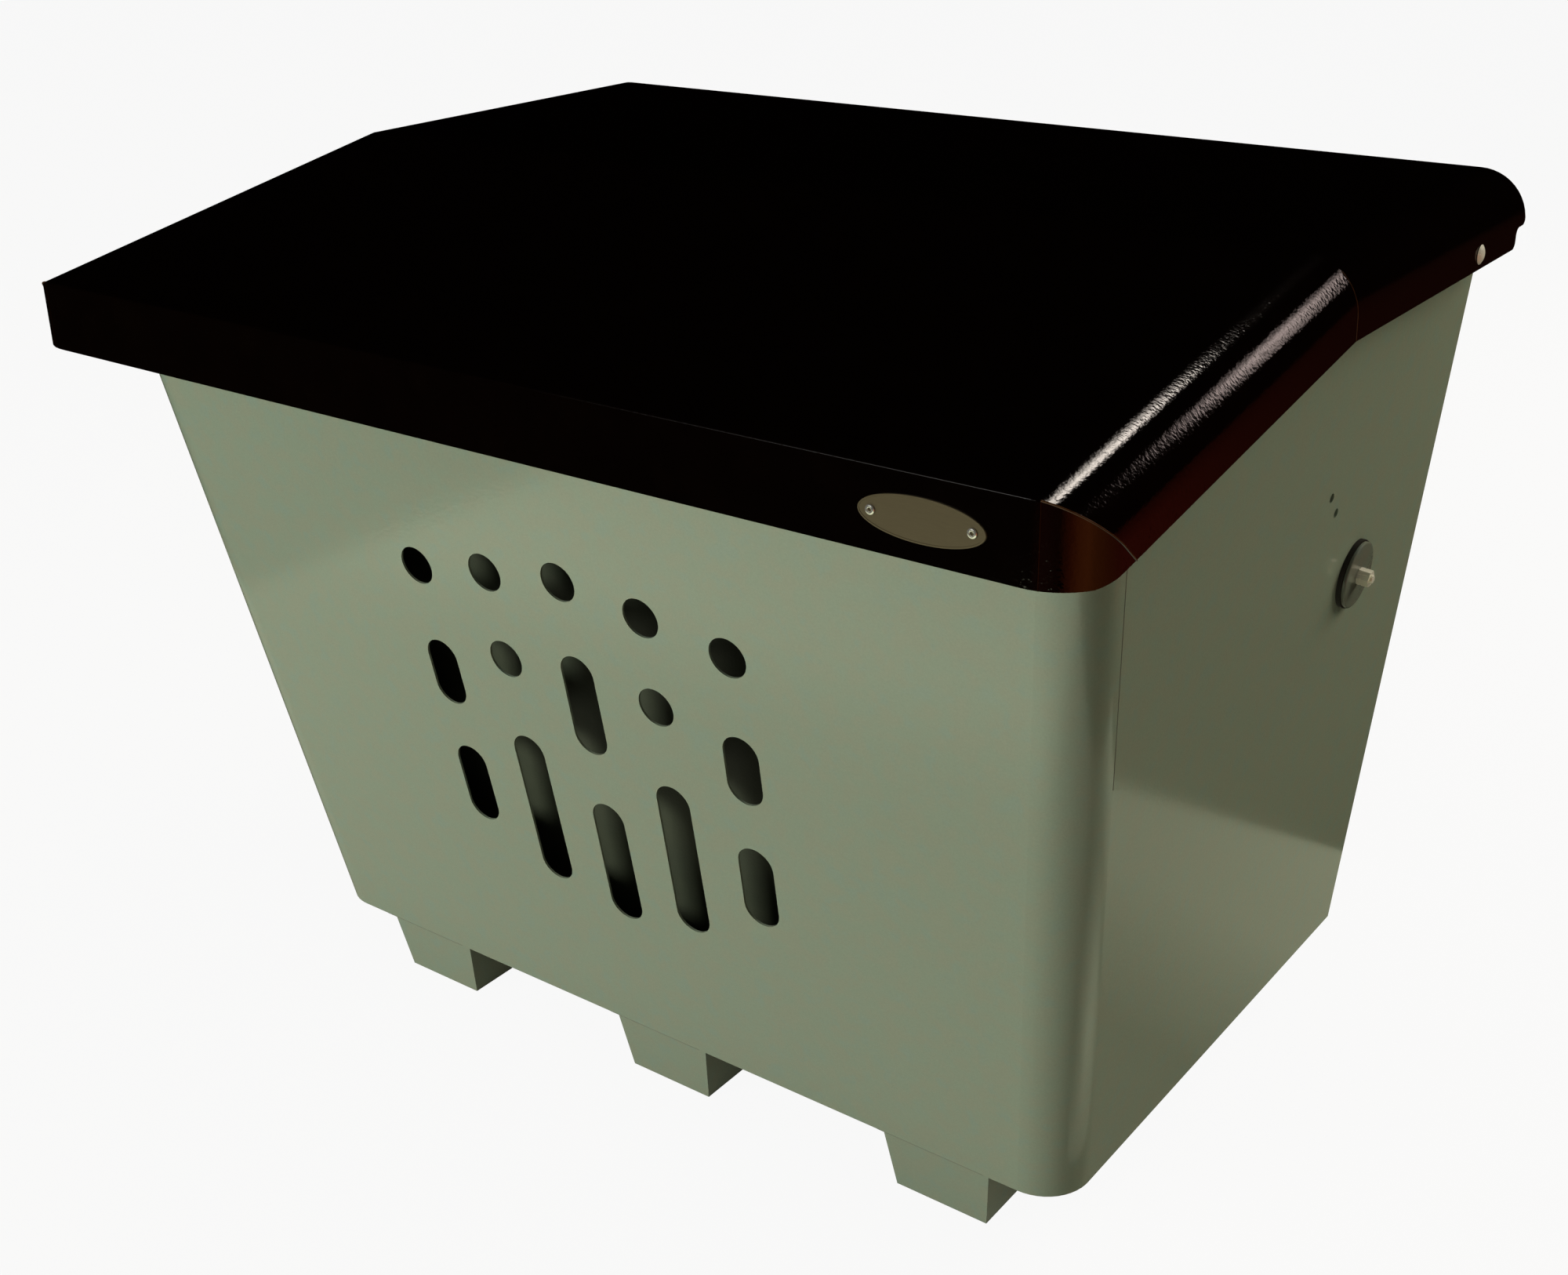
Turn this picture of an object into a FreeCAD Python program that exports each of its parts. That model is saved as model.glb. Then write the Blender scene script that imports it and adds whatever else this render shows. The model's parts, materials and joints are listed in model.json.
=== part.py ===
import FreeCAD, Part
import math
import os
from FreeCAD import Vector, Placement, Rotation

# Grit salt bin: a tapered sheet-steel body on three skids holds a plastic salt tub,
# and a ridged lid turns on two side pivots, lifted by a gas spring at each side.
# Millimetres. X runs along the width, Y from the front to the back, Z up.
# The origin is on the ground, under the middle of the bin.

os.makedirs("parts", exist_ok=True)

# Lid, outer sizes
lid_width = 1020.0
lid_depth = 750.0
total_height = 799.0
lid_sheet = 2.0
lid_slope_deg = 10.2
lid_slope_run = 381.8
lid_skirt = 60.0
lid_side_bend = 42.0
lid_plan_corner = 44.0
lid_band_height = 57.0
lid_band_edge_radius = 1.5
lid_corner_length = 33.0
lid_ear_length = 17.5
lid_back_drop = 43.0
lid_back_notch = 20.0
lid_notch_radius = 6.0
seam_strap_width = 40.0
seam_strap_end_gap = 125.0

# Body, outer sizes
side_gap_at_pivot = 21.7
front_overhang = 70.1
back_overhang = 34.5
front_lean_deg = 10.5
side_taper_deg = 5.45
body_corner = 42.0
body_sheet = 2.0
floor_height = 67.0
floor_sheet = 3.0

# Rim on top of the body walls
rim_sheet = 3.0
rim_under_lid = 12.0
seal_gap = 0.3
seal_inset = 1.0
seal_width = 10.0
seal_end_from_pivot = 14.0

# Salt tub
tub_wall = 4.0
tub_gap_front = 40.0
tub_gap_side = 24.0
tub_mouth_clearance = 0.5
tub_flange_inset = 12.5
tub_corner = 30.0

# Front perforation
hole_diameter = 35.0
hole_pitch_at_floor = 74.5
round_hole_heights = [(-2, 452.6), (-1, 465.8), (0, 477.2), (1, 465.8), (2, 452.6), (-1, 382.5), (1, 382.5)]
slot_heights = [
    (-2, 331.5, 361.5),
    (0, 328.5, 390.0),
    (2, 331.5, 361.5),
    (-2, 206.0, 251.0),
    (-1, 167.5, 286.5),
    (0, 151.5, 241.0),
    (1, 167.5, 286.5),
    (2, 206.0, 251.0),
]

# Skids
skid_from_body_side = 125.0
skid_top_width = 105.0
skid_foot_width = 89.0
skid_sheet = 3.0
skid_recess = 8.0

# Side pivots of the lid
pivot_from_back = 108.6
pivot_below_top = 47.6
lid_opening_deg = 45.0
pivot_bolt_diameter = 8.0
pivot_head_diameter = 16.0
pivot_head_height = 2.8
pivot_bolt_reach = 20.0
bush_diameter = 12.0
bush_flange_diameter = 18.0
bush_flange_thickness = 1.5
bush_proud = 0.4
boss_diameter = 30.0
boss_face_gap = 0.5
boss_blind_end = 2.5
boss_inside_wall = 10.0

# Rubber stops that the open lid leans on
stop_height = 9.0
stop_diameter = 14.0
stop_gap = 0.3
stop_from_lid_side = 210.0
stop_from_back = 6.6

# Gas spring anchors through the side walls
anchor_behind_pivot = -79.6
anchor_below_pivot = 257.7
ball_diameter = 16.0
ball_to_collar = 12.0
collar_thickness = 6.0
collar_across = 17.0
neck_diameter = 9.0
stud_diameter = 8.0
stud_proud = 2.0
rubber_disc_diameter = 60.0
rubber_disc_thickness = 4.0
cover_disc_diameter = 58.0
cover_disc_thickness = 3.0
thin_nut_thickness = 4.0
nut_thickness = 6.5
nut_across = 13.0
sleeve_diameter = 18.0
spare_hole_diameter = 8.0
spare_holes_from_anchor = [(-84.6, 93.0), (-68.2, 75.3)]

# Gas springs
spring_top_ahead_of_pivot = 296.4
spring_top_under_lid = 48.0
rod_diameter = 10.0
tube_diameter = 22.0
tube_wall = 1.5
tube_start = 48.0
tube_end_cap = 6.0
rod_end_gap = 3.5
piston_length = 10.0
guide_length = 12.0
socket_diameter = 24.0
socket_mouth = 5.5
socket_neck_diameter = 14.0
socket_neck_reach = 30.0
socket_thread_depth = 14.0
eye_diameter = 20.0
eye_thickness = 10.0
eye_neck_diameter = 12.0
eye_neck_reach = 27.0
eye_thread_depth = 8.0
pin_diameter = 8.0
pin_head_diameter = 13.0
pin_head_thickness = 3.0
collar_gap = 0.8
bracket_collar_length = 8.0
bracket_collar_diameter = 18.0
bracket_sheet = 3.0
bracket_width = 56.0
bracket_foot = 25.0

# Name plate, left blank
plate_from_band_seam = 80.2
plate_above_band_edge = 27.6
plate_length = 92.0
plate_height = 30.0
plate_thickness = 1.2
plate_rivet_spacing = 73.0
plate_rivet_diameter = 4.0
plate_rivet_head = 7.0
plate_rivet_proud = 1.0

# Tub flange rivets
rivet_diameter = 6.0
rivet_head_diameter = 12.0
rivet_head_height = 3.0
rivet_tail = 3.0
rivet_inset = 18.5
side_rivet_from_pivot = 81.4
side_rivet_pitch = 110.0
side_rivet_count = 4
front_rivet_from_lid_side = 210.0

# Clearances
turning_clearance = 0.05
ball_clearance = 0.3
reach = 2000.0
lid_room = 200.0

# Places along Y, and angles, from the sizes above
proud_of_front = plate_thickness + plate_rivet_proud
front_y = -(lid_depth + proud_of_front) / 2 + proud_of_front
back_y = front_y + lid_depth
ridge_y = front_y + lid_slope_run
back_wall_y = back_y - back_overhang
pivot_y = back_y - pivot_from_back
pivot_height = total_height - pivot_below_top
anchor_y = pivot_y + anchor_behind_pivot
anchor_height = pivot_height - anchor_below_pivot
slope = math.radians(lid_slope_deg)
front_lean = math.tan(math.radians(front_lean_deg))
side_taper = math.tan(math.radians(side_taper_deg))
opening = math.radians(lid_opening_deg)
lid_front_top = total_height - lid_slope_run * math.tan(slope)
lid_band_bottom = lid_front_top - lid_band_height
front_foot_y = front_y + front_overhang + front_lean * (lid_band_bottom - floor_height)
wall_gap = lid_sheet + side_gap_at_pivot
body_bottom_width = lid_width - 2 * (wall_gap + side_taper * (pivot_height - floor_height))
skid_spacing = body_bottom_width / 2 - skid_from_body_side
stop_spacing = lid_width / 2 - stop_from_lid_side
front_rivet_pitch = lid_width / 2 - front_rivet_from_lid_side
lid_band_seam = lid_width / 2 - lid_corner_length
plate_centre_x = lid_band_seam - plate_from_band_seam
plate_centre_height = lid_band_bottom + plate_above_band_edge
stop_plane = total_height - lid_sheet - pivot_height - stop_height - stop_gap


def half_width(z):
    """Half the outer width of the body at a height."""
    return body_bottom_width / 2 + side_taper * (z - floor_height)


def front_wall_y(z):
    """Outer face of the front wall at a height."""
    return front_foot_y - front_lean * (z - floor_height)


def side_prism(points, low_x, high_x):
    """Solid with a side outline of (y, z) points, running along X."""
    corners = [Vector(low_x, y, z) for y, z in points]
    face = Part.Face(Part.makePolygon(corners + [corners[0]]))
    return face.extrude(Vector(high_x - low_x, 0, 0))


def front_prism(points, low_y, high_y):
    """Solid with a front outline of (x, z) points, running along Y."""
    corners = [Vector(x, low_y, z) for x, z in points]
    face = Part.Face(Part.makePolygon(corners + [corners[0]]))
    return face.extrude(Vector(0, high_y - low_y, 0))


def box(low, high):
    """Box between two corners."""
    size = [b - a for a, b in zip(low, high)]
    return Part.makeBox(size[0], size[1], size[2], Vector(*low))


def cylinder(radius, start, end):
    """Cylinder from one point to another."""
    axis = end.sub(start)
    return Part.makeCylinder(radius, axis.Length, start, axis)


def tube(outer, inner, start, end):
    """Pipe from one point to another."""
    return cylinder(outer, start, end).cut(cylinder(inner, start, end))


def hexagon(across, start, end):
    """Hexagonal prism from one point to another, with its corners chamfered by a turned blank."""
    axis = end.sub(start)
    radius = across / 2 / math.cos(math.radians(30))
    angles = [math.radians(60 * i + 30) for i in range(7)]
    wire = Part.makePolygon([Vector(radius * math.cos(a), radius * math.sin(a), 0) for a in angles])
    prism = Part.Face(wire).extrude(Vector(0, 0, axis.Length))
    chamfer = (radius - across / 2) * 0.6
    blank = Part.makeCylinder(radius, axis.Length)
    blank = blank.makeChamfer(chamfer, [e for e in blank.Edges if e.Curve.TypeId == "Part::GeomCircle"])
    nut = prism.common(blank)
    nut.Placement = Placement(start, Rotation(Vector(0, 0, 1), axis))
    return nut


def outline_face(outline, place):
    """Face inside a closed outline of points, each with the middle of the arc that leads to it, or None."""
    edges = []
    before = outline[-1][0]
    for point, middle in outline:
        if middle is None:
            edges.append(Part.LineSegment(place(before), place(point)).toShape())
        else:
            edges.append(Part.Arc(place(before), place(middle), place(point)).toShape())
        before = point
    return Part.Face(Part.Wire(edges))


def turned(outline):
    """Solid turned about Z from an outline of (x, z) points."""
    face = outline_face(outline, lambda point: Vector(point[0], 0, point[1]))
    return face.revolve(Vector(0, 0, 0), Vector(0, 0, 1), 360)


def mirrored(shape):
    """The same shape on the other side of the bin."""
    return shape.mirror(Vector(0, 0, 0), Vector(1, 0, 0))


def joined(shapes):
    """Union of overlapping shapes as one clean solid."""
    result = shapes[0]
    for shape in shapes[1:]:
        result = result.fuse(shape)
    return result.removeSplitter()


def save(name, shapes):
    """Write a node, and say how many solids it holds."""
    solids = []
    for shape in shapes:
        solids += shape.Solids
    for solid in solids:
        if not solid.isValid():
            print("invalid solid in", name)
    result = solids[0] if len(solids) == 1 else Part.makeCompound(solids)
    result.exportStep("parts/" + name + ".step")
    print(name, len(solids), "solids", round(sum(s.Volume for s in solids) / 1000, 2), "cm3")


# Body block: the tapered form that the walls, rim and tub share

def body_block(inset_front, inset_side, inset_back, corner, low=0.0, high=reach / 2):
    """Tapered block inside the body's outer faces, each inset measured square to its wall."""
    shift_front = inset_front / math.cos(math.atan(front_lean))
    shift_side = inset_side / math.cos(math.atan(side_taper))
    back = back_wall_y - inset_back
    side_view = side_prism([
        (front_wall_y(low) + shift_front, low),
        (back, low),
        (back, high),
        (front_wall_y(high) + shift_front, high),
    ], -reach, reach)
    low_x = half_width(low) - shift_side
    high_x = half_width(high) - shift_side
    front_view = front_prism([(-low_x, low), (low_x, low), (high_x, high), (-high_x, high)], -reach, reach)
    block = side_view.common(front_view)
    if corner <= 0:
        return block
    front_edges = []
    for edge in block.Edges:
        a, b = edge.Vertexes[0].Point, edge.Vertexes[1].Point
        if abs(a.z - b.z) > 1 and max(a.y, b.y) < back_wall_y - inset_back - 1:
            front_edges.append(edge)
    return block.makeFillet(corner, front_edges)


# Rim line: the side outline that the top of the body follows under the lid

def rim_line(depth):
    """Side outline a distance under the rim's top: front, ridge, start of the rear slope, back."""
    offset = lid_sheet + rim_under_lid + depth
    level = total_height - offset
    ridge = ridge_y + offset * math.tan(slope / 2)
    front = front_y - 50
    front_z = level - (ridge - front) * math.tan(slope)
    plane = stop_plane - depth
    bend = pivot_y + (plane - (level - pivot_height) * math.cos(opening)) / math.sin(opening)
    back = back_wall_y + 50
    back_z = pivot_height + (plane - (back - pivot_y) * math.sin(opening)) / math.cos(opening)
    return [(front, front_z), (ridge, level), (bend, level), (back, back_z)]


def rim_layer(top_depth, bottom_depth):
    """Sheet that follows the rim between two depths, across the whole bin."""
    outline = rim_line(top_depth) + list(reversed(rim_line(bottom_depth)))
    return side_prism(outline, -reach / 2, reach / 2)


def above_rim(depth):
    """Everything above a rim line."""
    line = rim_line(depth)
    roof = [(line[-1][0], reach), (line[0][0], reach)]
    return side_prism(line + roof, -reach / 2, reach / 2)


# Lid line: the side outline of the lid

def lid_line(offset):
    """Side outline a distance under the lid's top: front, ridge, back."""
    level = total_height - offset
    ridge = ridge_y + offset * math.tan(slope / 2)
    return [(front_y, level - (ridge - front_y) * math.tan(slope)), (ridge, level), (back_y, level)]


def lid_height(y, offset):
    """Height of a lid line at a place along Y."""
    front, ridge, back = lid_line(offset)
    if y >= ridge[0]:
        return ridge[1]
    return ridge[1] - (ridge[0] - y) * math.tan(slope)


# Body walls

def make_walls():
    outer = body_block(0, 0, 0, body_corner)
    inner = body_block(body_sheet, body_sheet, body_sheet, body_corner - body_sheet)
    walls = outer.cut(inner)
    walls = walls.cut(box((-reach, -reach, -1), (reach, reach, floor_height)))
    return walls.cut(above_rim(rim_sheet))


def seam_front_region():
    """Space in front of the seam where the corner bends end on the side walls."""
    shift = body_corner / math.cos(math.atan(front_lean))
    low_y = front_wall_y(0) + shift
    high_y = front_wall_y(reach) + shift
    outline = [(-reach, 0), (low_y, 0), (high_y, reach), (-reach, reach)]
    return side_prism(outline, -reach, reach)


def wall_point(x, up):
    """Point on the outer face of the front wall, a distance up its slope from the bottom edge."""
    z = floor_height + up * math.cos(math.atan(front_lean))
    return Vector(x, front_wall_y(z), z)


def column_x(column, up):
    """Place of a hole column, which runs in line with the taper of the side walls."""
    z = floor_height + up * math.cos(math.atan(front_lean))
    return column * hole_pitch_at_floor * half_width(z) / half_width(floor_height)


def perforation():
    """Cutters for the round holes and slots."""
    through = Vector(0, math.cos(math.atan(front_lean)), math.sin(math.atan(front_lean)))
    depth = through * (6 * body_sheet)
    radius = hole_diameter / 2
    cutters = []
    for column, up in round_hole_heights:
        centre = wall_point(column_x(column, up), up)
        cutters.append(cylinder(radius, centre - depth, centre + depth))
    for column, low, high in slot_heights:
        ends = [wall_point(column_x(column, up), up) for up in (low, high)]
        along = (ends[1] - ends[0]).normalize()
        across = along.cross(through).normalize() * radius
        corners = [ends[0] - across, ends[0] + across, ends[1] + across, ends[1] - across]
        corners = [c - depth for c in corners]
        middle = Part.Face(Part.makePolygon(corners + [corners[0]])).extrude(depth * 2)
        cutters.append(middle)
        cutters += [cylinder(radius, e - depth, e + depth) for e in ends]
    return cutters


def side_point(y, z, inward=0.0):
    """Point on the outer face of the right side wall, moved square into the bin."""
    return Vector(half_width(z), y, z) - side_normal() * inward


def side_normal():
    """Outward direction of the right side wall."""
    return Vector(1, 0, -side_taper).normalize()


def wall_cutters():
    """Holes through the right side wall."""
    cutters = []
    wall_depth = body_sheet * 4
    places = [(anchor_y, anchor_height, stud_diameter / 2 + turning_clearance)]
    for behind, above in spare_holes_from_anchor:
        places.append((anchor_y + behind, anchor_height + above, spare_hole_diameter / 2))
    for y, z, radius in places:
        cutters.append(cylinder(radius, side_point(y, z, -wall_depth), side_point(y, z, wall_depth)))
    return cutters


def make_panels():
    walls = make_walls()
    front_region = seam_front_region()
    front = walls.common(front_region)
    for cutter in perforation():
        front = front.cut(cutter)
    rear = walls.cut(front_region)
    between_sides = body_block(-reach / 10, body_sheet, -reach / 10, 0)
    back = rear.common(between_sides)
    sides = rear.cut(between_sides)
    right = sides.common(box((0, -reach, 0), (reach, reach, reach)))
    for cutter in wall_cutters():
        right = right.cut(cutter)
    save("front_panel", [front])
    save("side_panel_right", [right])
    save("side_panel_left", [mirrored(right)])
    save("back_panel", [back])


def make_floor():
    inside = body_block(body_sheet, body_sheet, body_sheet, body_corner - body_sheet)
    slab = box((-reach, -reach, floor_height), (reach, reach, floor_height + floor_sheet))
    save("floor_plate", [inside.common(slab)])


# Tub

tub_inset_front = body_sheet + tub_gap_front
tub_inset_side = body_sheet + tub_gap_side


def tub_block(extra, corner_change):
    """Tub form, made smaller by an extra inset."""
    return body_block(
        tub_inset_front + extra,
        tub_inset_side + extra,
        tub_inset_side + extra,
        tub_corner + corner_change,
    )


def flange_rivet_seats():
    """Points on the rim's top with their upward direction, where the tub flange is riveted."""
    seats = []
    sloped_up = Vector(0, -math.sin(slope), math.cos(slope))
    offset = lid_sheet + rim_under_lid
    level_at_origin = lid_height(front_y, offset) - front_y * math.tan(slope)
    wall_top_y = (front_wall_y(0) - front_lean * level_at_origin) / (1 + front_lean * math.tan(slope))
    for i in (-1, 0, 1):
        x = i * front_rivet_pitch
        y = wall_top_y + rivet_inset
        seats.append((Vector(x, y, lid_height(y, offset)), sloped_up))
    for i in range(side_rivet_count):
        y = pivot_y - side_rivet_from_pivot - i * side_rivet_pitch
        z = lid_height(y, offset)
        up = Vector(0, 0, 1) if y > ridge_y else sloped_up
        x = half_width(z) - rivet_inset
        seats += [(Vector(x, y, z), up), (Vector(-x, y, z), up)]
    return seats


def make_tub_and_rim():
    below_floor = box((-reach, -reach, -1), (reach, reach, floor_height + floor_sheet))
    below_inside = box((-reach, -reach, -1), (reach, reach, floor_height + floor_sheet + tub_wall))
    outer = tub_block(0, 0).cut(below_floor)
    cavity = tub_block(tub_wall, -tub_wall).cut(below_inside)
    bucket = outer.cut(above_rim(-tub_wall))
    inset = tub_flange_inset
    flange = rim_layer(-tub_wall, 0).common(body_block(inset, inset, inset, body_corner - inset))
    tub = joined([bucket, flange]).cut(cavity)
    mouth = tub_block(-tub_mouth_clearance, tub_mouth_clearance)
    frame = rim_layer(0, rim_sheet).common(body_block(0, 0, 0, body_corner)).cut(mouth)
    stud_radius = stud_diameter / 2 + turning_clearance
    start = side_point(anchor_y, anchor_height)
    end = side_point(anchor_y, anchor_height, 3 * tub_inset_side)
    drill = cylinder(stud_radius, start, end)
    tub = tub.cut(drill).cut(mirrored(drill))
    rivets = []
    for seat, up in flange_rivet_seats():
        hole = cylinder(rivet_diameter / 2, seat - up * (4 * rim_sheet), seat + up * (4 * rim_sheet))
        tub = tub.cut(hole)
        frame = frame.cut(hole)
        tail = seat - up * rim_sheet
        shank = cylinder(rivet_diameter / 2, tail - up * rivet_tail, seat + up * tub_wall)
        head_start = seat + up * tub_wall
        head = cylinder(rivet_head_diameter / 2, head_start, head_start + up * rivet_head_height)
        rims = [e for e in head.Edges if e.Curve.TypeId == "Part::GeomCircle"]
        top_rim = max(rims, key=lambda e: e.BoundBox.Center.z)
        head = head.makeFillet(rivet_head_height * 0.7, [top_rim])
        swell = cylinder(rivet_diameter * 0.75, tail - up * rivet_tail, tail)
        rivets.append(joined([shank, head, swell]))
    save("salt_tub", [tub])
    save("rim_frame", [frame])
    save("tub_rivets", rivets)


def make_seal():
    layer = rim_layer(-rim_under_lid, 0)
    outside = body_block(seal_inset, seal_inset, seal_inset, body_corner - seal_inset)
    inset = seal_inset + seal_width
    inside = body_block(inset, inset, inset, body_corner - inset)
    ahead = box((-reach, -reach, 0), (reach, pivot_y - seal_end_from_pivot, reach))
    strip = layer.common(outside).cut(inside).common(ahead)
    room = joined([sloped_bar(lid_sheet + seal_gap, lid_room), rear_bar(lid_sheet + seal_gap, lid_room)])
    save("rim_seal", [strip.common(room)])


def make_stops():
    """Rubber stops standing square on the rear slope of the rim."""
    up = Vector(0, math.sin(opening), math.cos(opening))
    y = back_wall_y - stop_from_back
    rise = (stop_plane - (y - pivot_y) * math.sin(opening)) / math.cos(opening)
    stops = []
    for i in (-1, 0, 1):
        foot = Vector(i * stop_spacing, y, pivot_height + rise)
        stop = cylinder(stop_diameter / 2, foot, foot + up * stop_height)
        rims = [e for e in stop.Edges if e.Curve.TypeId == "Part::GeomCircle"]
        top_rim = max(rims, key=lambda e: e.BoundBox.Center.z)
        stops.append(stop.makeFillet(stop_height / 4, [top_rim]))
    save("lid_stops", stops)


# Skids

def skid_prism(centre, shrink, low):
    """Endless bar with the trapezoid section of a skid, wider at the top."""
    grow = (skid_top_width - skid_foot_width) / 2 / floor_height
    foot = skid_foot_width / 2 - shrink
    top = foot + grow * floor_height
    lower = foot + grow * low
    return front_prism([
        (centre - lower, low),
        (centre + lower, low),
        (centre + top, floor_height),
        (centre - top, floor_height),
    ], -reach / 2, reach / 2)


def skid_length_region(extra):
    """Space between the sloping front end and the upright rear end of a skid."""
    front_low = front_wall_y(0) + skid_recess + extra
    front_high = front_wall_y(floor_height) + skid_recess + extra
    rear = back_wall_y - skid_recess - extra
    outline = [(front_low, 0), (rear, 0), (rear, floor_height), (front_high, floor_height)]
    return side_prism(outline, -reach, reach)


def make_skids():
    whole = skid_length_region(0)
    between_caps = skid_length_region(skid_sheet)
    front_caps = []
    rear_caps = []
    for name, place in (("left", -1), ("middle", 0), ("right", 1)):
        centre = place * skid_spacing
        outer = skid_prism(centre, 0, 0).common(whole)
        hollow = skid_prism(centre, skid_sheet, skid_sheet)
        save("skid_" + name, [outer.cut(hollow)])
        ends = hollow.common(whole).cut(between_caps)
        caps = sorted(ends.Solids, key=lambda s: s.BoundBox.Center.y)
        front_caps.append(caps[0])
        rear_caps.append(caps[1])
    save("skid_front_caps", front_caps)
    save("skid_rear_caps", rear_caps)


# Lid pivots

skirt_inner_x = lid_width / 2 - lid_sheet
boss_face_x = skirt_inner_x - boss_face_gap - bush_flange_thickness
bush_end_x = lid_width / 2 + bush_proud


def pivot_point(x):
    return Vector(x, pivot_y, pivot_height)


def make_pivots():
    radius = pivot_bolt_diameter / 2
    bore = radius + turning_clearance
    start_x = bush_end_x - pivot_bolt_reach
    solid_body = body_block(0, 0, 0, body_corner)
    boss_start_x = half_width(pivot_height) - boss_inside_wall
    boss = cylinder(boss_diameter / 2, pivot_point(boss_start_x), pivot_point(boss_face_x)).cut(solid_body)
    boss = boss.cut(cylinder(bore, pivot_point(start_x - boss_blind_end), pivot_point(boss_face_x)))
    flange_end = boss_face_x + bush_flange_thickness
    bush = cylinder(bush_flange_diameter / 2, pivot_point(boss_face_x), pivot_point(flange_end))
    bush = joined([bush, cylinder(bush_diameter / 2, pivot_point(flange_end), pivot_point(bush_end_x))])
    bush = bush.cut(cylinder(bore, pivot_point(boss_face_x), pivot_point(bush_end_x)))
    shank = cylinder(radius, pivot_point(start_x), pivot_point(bush_end_x))
    head_radius = pivot_head_diameter / 2
    dome_radius = (head_radius ** 2 + pivot_head_height ** 2) / 2 / pivot_head_height
    centre = pivot_point(bush_end_x + pivot_head_height - dome_radius)
    dome = Part.makeSphere(dome_radius, centre)
    dome = dome.common(cylinder(head_radius, pivot_point(bush_end_x), pivot_point(bush_end_x + dome_radius)))
    bolt = joined([shank, dome])
    save("hinge_bosses", [boss, mirrored(boss)])
    save("hinge_bushes", [bush, mirrored(bush)])
    save("hinge_bolts", [bolt, mirrored(bolt)])


# Gas spring anchors, along the outward direction of the side wall

def anchor_point(outward):
    """Point on the anchor's axis, a distance out from the right wall's outer face."""
    return side_point(anchor_y, anchor_height, -outward)


tub_face = -(body_sheet + tub_gap_side + tub_wall)
ball_centre = anchor_point(tub_face - collar_thickness - ball_to_collar)


def make_anchors():
    nuts_start = rubber_disc_thickness + cover_disc_thickness
    nuts_end = nuts_start + thin_nut_thickness + nut_thickness
    collar_start = tub_face - collar_thickness
    ball_radius = ball_diameter / 2
    neck_radius = neck_diameter / 2
    neck_start = math.sqrt(ball_radius ** 2 - neck_radius ** 2)
    ball = turned([
        ((0, -ball_radius), None),
        ((-neck_radius, neck_start), (-ball_radius, 0)),
        ((-neck_radius, ball_to_collar), None),
        ((0, ball_to_collar), None),
    ])
    ball.Placement = Placement(ball_centre, Rotation(Vector(0, 0, 1), side_normal()))
    collar = hexagon(collar_across, anchor_point(collar_start), anchor_point(tub_face))
    shank = cylinder(stud_diameter / 2, anchor_point(tub_face), anchor_point(nuts_end + stud_proud))
    shank_rims = [e for e in shank.Edges if e.Curve.TypeId == "Part::GeomCircle"]
    end_rim = max(shank_rims, key=lambda e: e.BoundBox.Center.x)
    shank = shank.makeChamfer(stud_diameter / 10, [end_rim])
    stud = joined([ball, collar, shank])
    bore = stud_diameter / 2 + turning_clearance
    sleeve_start = tub_face + tub_wall
    sleeve = tube(sleeve_diameter / 2, bore, anchor_point(sleeve_start), anchor_point(-body_sheet))
    rubber = tube(rubber_disc_diameter / 2, bore, anchor_point(0), anchor_point(rubber_disc_thickness))
    disc_face = anchor_point(rubber_disc_thickness)
    cover = tube(cover_disc_diameter / 2, bore, disc_face, anchor_point(nuts_start))
    thin_end = nuts_start + thin_nut_thickness
    drill = cylinder(bore, anchor_point(nuts_start - 1), anchor_point(nuts_end + 1))
    thin_nut = hexagon(nut_across, anchor_point(nuts_start), anchor_point(thin_end)).cut(drill)
    nut = hexagon(nut_across, anchor_point(thin_end), anchor_point(nuts_end)).cut(drill)
    for name, shape in (
        ("anchor_ball_studs", stud),
        ("anchor_sleeves", sleeve),
        ("anchor_rubber_discs", rubber),
        ("anchor_cover_discs", cover),
        ("anchor_lock_nuts", thin_nut),
        ("anchor_nuts", nut),
    ):
        save(name, [shape, mirrored(shape)])


# Gas springs, built upright from the ball at the origin, then leaned to the lid's eye

spring_top_y = pivot_y - spring_top_ahead_of_pivot
spring_top_z = lid_height(spring_top_y, lid_sheet) - spring_top_under_lid
spring_length = math.hypot(spring_top_y - ball_centre.y, spring_top_z - ball_centre.z)
spring_lean = math.degrees(math.atan2(ball_centre.y - spring_top_y, spring_top_z - ball_centre.z))
rod_reach = spring_length - eye_neck_reach - tube_end_cap - rod_end_gap
spring_place = Placement(ball_centre, Rotation(Vector(1, 0, 0), spring_lean))


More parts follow.
